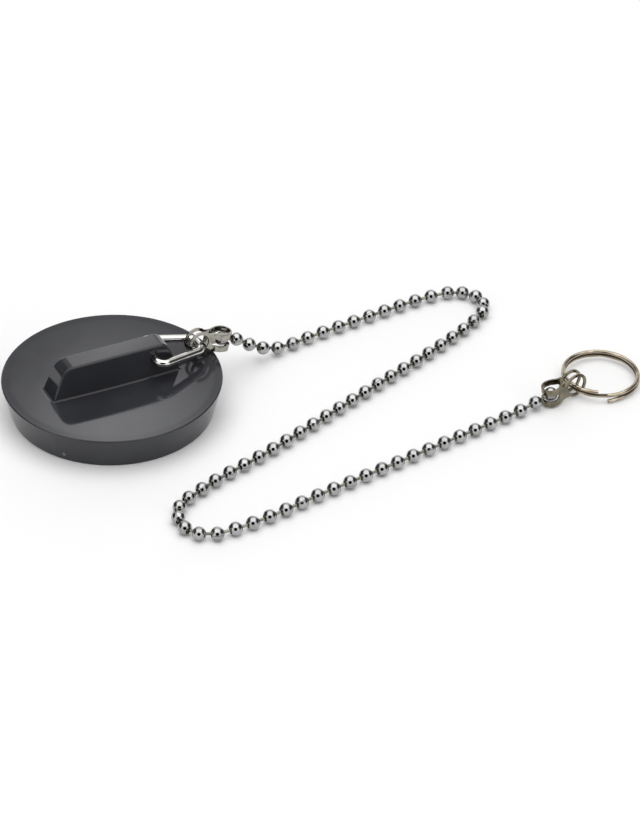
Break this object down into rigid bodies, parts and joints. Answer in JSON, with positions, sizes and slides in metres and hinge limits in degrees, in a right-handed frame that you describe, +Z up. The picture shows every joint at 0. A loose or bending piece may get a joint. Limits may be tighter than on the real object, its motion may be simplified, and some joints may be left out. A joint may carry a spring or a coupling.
{
  "type": "sink plug on a bead chain",
  "caption": "Black moulded sink plug with a gripped top, its wire loop, a nickelled bead chain with a folded clip at each end, and a split ring.",
  "frame": {"origin": "centre of the plug's flat underside", "axes": "+Z up out of the sink, +X to the right as pictured, +Y away from the camera; the grip's length is turned 26.9 degrees from +X"},
  "size_m": [0.1472, 0.0996, 0.0151],
  "materials": {
    "moulded_black": "gloss, moulded",
    "loop_wire": "bright plated wire",
    "clip_strip": "nickelled strip, softly polished",
    "beads": "bright plated beads",
    "ring_wire": "nickelled spring wire"
  },
  "bodies": {
    "plug": {"plug": "moulded_black"},
    "wire_loop": {"wire_loop": "loop_wire"},
    "chain_clip": {"chain_clip": "clip_strip"},
    "chain_run_00": {"chain_run_00": "beads"},
    "chain_run_01": {"chain_run_01": "beads"},
    "chain_run_02": {"chain_run_02": "beads"},
    "chain_run_03": {"chain_run_03": "beads"},
    "chain_run_04": {"chain_run_04": "beads"},
    "chain_run_05": {"chain_run_05": "beads"},
    "chain_run_06": {"chain_run_06": "beads"},
    "chain_run_07": {"chain_run_07": "beads"},
    "chain_run_08": {"chain_run_08": "beads"},
    "chain_run_09": {"chain_run_09": "beads"},
    "chain_run_10": {"chain_run_10": "beads"},
    "chain_run_11": {"chain_run_11": "beads"},
    "chain_run_12": {"chain_run_12": "beads"},
    "chain_run_13": {"chain_run_13": "beads"},
    "chain_run_14": {"chain_run_14": "beads"},
    "chain_run_15": {"chain_run_15": "beads"},
    "chain_run_16": {"chain_run_16": "beads"},
    "chain_run_17": {"chain_run_17": "beads"},
    "chain_run_18": {"chain_run_18": "beads"},
    "chain_run_19": {"chain_run_19": "beads"},
    "chain_run_20": {"chain_run_20": "beads"},
    "chain_run_21": {"chain_run_21": "beads"},
    "chain_run_22": {"chain_run_22": "beads"},
    "ring_clip": {"ring_clip": "clip_strip"},
    "split_ring": {"split_ring": "ring_wire"}
  },
  "joints": [
    {"name": "wire_loop_hinge", "type": "hinge", "parent": "plug", "child": "wire_loop", "pos_m": [0.00849, 0.0043, 0.012], "axis": [0.4524, -0.8918, 0], "range_deg": [0, 130]},
    {"name": "chain_clip_hinge", "type": "hinge", "parent": "wire_loop", "child": "chain_clip", "pos_m": [0.01921, 0.00975, 0.01145], "axis": [0.5577, -0.83, 0], "range_deg": [0, 60]},
    {"name": "chain_run_00_hinge", "type": "hinge", "parent": "chain_clip", "child": "chain_run_00", "pos_m": [0.02446, 0.01327, 0.00992], "axis": [0, 0, 1], "range_deg": [-20, 50]},
    {"name": "chain_run_01_hinge", "type": "hinge", "parent": "chain_run_00", "child": "chain_run_01", "pos_m": [0.03377, 0.01897, 0.00369], "axis": [-0.525, 0.8511, 0], "range_deg": [-22, 22]},
    {"name": "chain_run_02_hinge", "type": "hinge", "parent": "chain_run_01", "child": "chain_run_02", "pos_m": [0.04414, 0.02627, 0.0016], "axis": [0, 0, -1], "range_deg": [-22, 12]},
    {"name": "chain_run_03_hinge", "type": "hinge", "parent": "chain_run_02", "child": "chain_run_03", "pos_m": [0.05499, 0.03346, 0.0016], "axis": [0.5433, -0.8396, 0], "range_deg": [-22, 22]},
    {"name": "chain_run_04_hinge", "type": "hinge", "parent": "chain_run_03", "child": "chain_run_04", "pos_m": [0.06594, 0.04051, 0.0016], "axis": [0, 0, 1], "range_deg": [-8, 22]},
    {"name": "chain_run_05_hinge", "type": "hinge", "parent": "chain_run_04", "child": "chain_run_05", "pos_m": [0.07742, 0.04652, 0.0016], "axis": [-0.3771, 0.9262, 0], "range_deg": [-22, 22]},
    {"name": "chain_run_06_hinge", "type": "hinge", "parent": "chain_run_05", "child": "chain_run_06", "pos_m": [0.08601, 0.04257, 0.0016], "axis": [0, 0, -1], "range_deg": [-22, 6]},
    {"name": "chain_run_07_hinge", "type": "hinge", "parent": "chain_run_06", "child": "chain_run_07", "pos_m": [0.0815, 0.0315, 0.0016], "axis": [-0.8197, 0.5728, 0], "range_deg": [-22, 22]},
    {"name": "chain_run_08_hinge", "type": "hinge", "parent": "chain_run_07", "child": "chain_run_08", "pos_m": [0.07311, 0.02131, 0.0016], "axis": [0, 0, 1], "range_deg": [-8, 22]},
    {"name": "chain_run_09_hinge", "type": "hinge", "parent": "chain_run_08", "child": "chain_run_09", "pos_m": [0.06422, 0.01156, 0.0016], "axis": [0.7298, -0.6836, 0], "range_deg": [-22, 22]},
    {"name": "chain_run_10_hinge", "type": "hinge", "parent": "chain_run_09", "child": "chain_run_10", "pos_m": [0.05529, 0.00184, 0.0016], "axis": [0, 0, -1], "range_deg": [-22, 14]},
    {"name": "chain_run_11_hinge", "type": "hinge", "parent": "chain_run_10", "child": "chain_run_11", "pos_m": [0.04643, -0.00795, 0.0016], "axis": [-0.7419, 0.6705, 0], "range_deg": [-22, 22]},
    {"name": "chain_run_12_hinge", "type": "hinge", "parent": "chain_run_11", "child": "chain_run_12", "pos_m": [0.0375, -0.01767, 0.0016], "axis": [0, 0, 1], "range_deg": [-22, 18]},
    {"name": "chain_run_13_hinge", "type": "hinge", "parent": "chain_run_12", "child": "chain_run_13", "pos_m": [0.02808, -0.02691, 0.0016], "axis": [0.6887, -0.7251, 0], "range_deg": [-22, 22]},
    {"name": "chain_run_14_hinge", "type": "hinge", "parent": "chain_run_13", "child": "chain_run_14", "pos_m": [0.01931, -0.03652, 0.0016], "axis": [0, 0, -1], "range_deg": [-12, 22]},
    {"name": "chain_run_15_hinge", "type": "hinge", "parent": "chain_run_14", "child": "chain_run_15", "pos_m": [0.0185, -0.04729, 0.0016], "axis": [-0.9118, -0.4107, 0], "range_deg": [-22, 22]},
    {"name": "chain_run_16_hinge", "type": "hinge", "parent": "chain_run_15", "child": "chain_run_16", "pos_m": [0.02943, -0.04779, 0.0016], "axis": [0, 0, 1], "range_deg": [-22, 12]},
    {"name": "chain_run_17_hinge", "type": "hinge", "parent": "chain_run_16", "child": "chain_run_17", "pos_m": [0.04036, -0.04057, 0.0016], "axis": [-0.5921, 0.8059, 0], "range_deg": [-22, 22]},
    {"name": "chain_run_18_hinge", "type": "hinge", "parent": "chain_run_17", "child": "chain_run_18", "pos_m": [0.05081, -0.03257, 0.0016], "axis": [0, 0, -1], "range_deg": [-16, 22]},
    {"name": "chain_run_19_hinge", "type": "hinge", "parent": "chain_run_18", "child": "chain_run_19", "pos_m": [0.06149, -0.02487, 0.0016], "axis": [0.5892, -0.808, 0], "range_deg": [-22, 22]},
    {"name": "chain_run_20_hinge", "type": "hinge", "parent": "chain_run_19", "child": "chain_run_20", "pos_m": [0.07211, -0.01709, 0.0016], "axis": [0, 0, 1], "range_deg": [-22, 22]},
    {"name": "chain_run_21_hinge", "type": "hinge", "parent": "chain_run_20", "child": "chain_run_21", "pos_m": [0.08274, -0.00933, 0.0016], "axis": [-0.5893, 0.8079, 0], "range_deg": [-22, 22]},
    {"name": "chain_run_22_hinge", "type": "hinge", "parent": "chain_run_21", "child": "chain_run_22", "pos_m": [0.09331, -0.00148, 0.0016], "axis": [0, 0, -1], "range_deg": [-22, 22]},
    {"name": "ring_clip_hinge", "type": "hinge", "parent": "chain_run_22", "child": "ring_clip", "pos_m": [0.10065, 0.00379, 0.00283], "axis": [-0.0714, -0.05, 0.9962], "range_deg": [-60, 60]},
    {"name": "split_ring_hinge", "type": "hinge", "parent": "ring_clip", "child": "split_ring", "pos_m": [0.10595, 0.00751, 0.0034], "axis": [0.5736, -0.8191, 0], "range_deg": [-90, 90]}
  ]
}
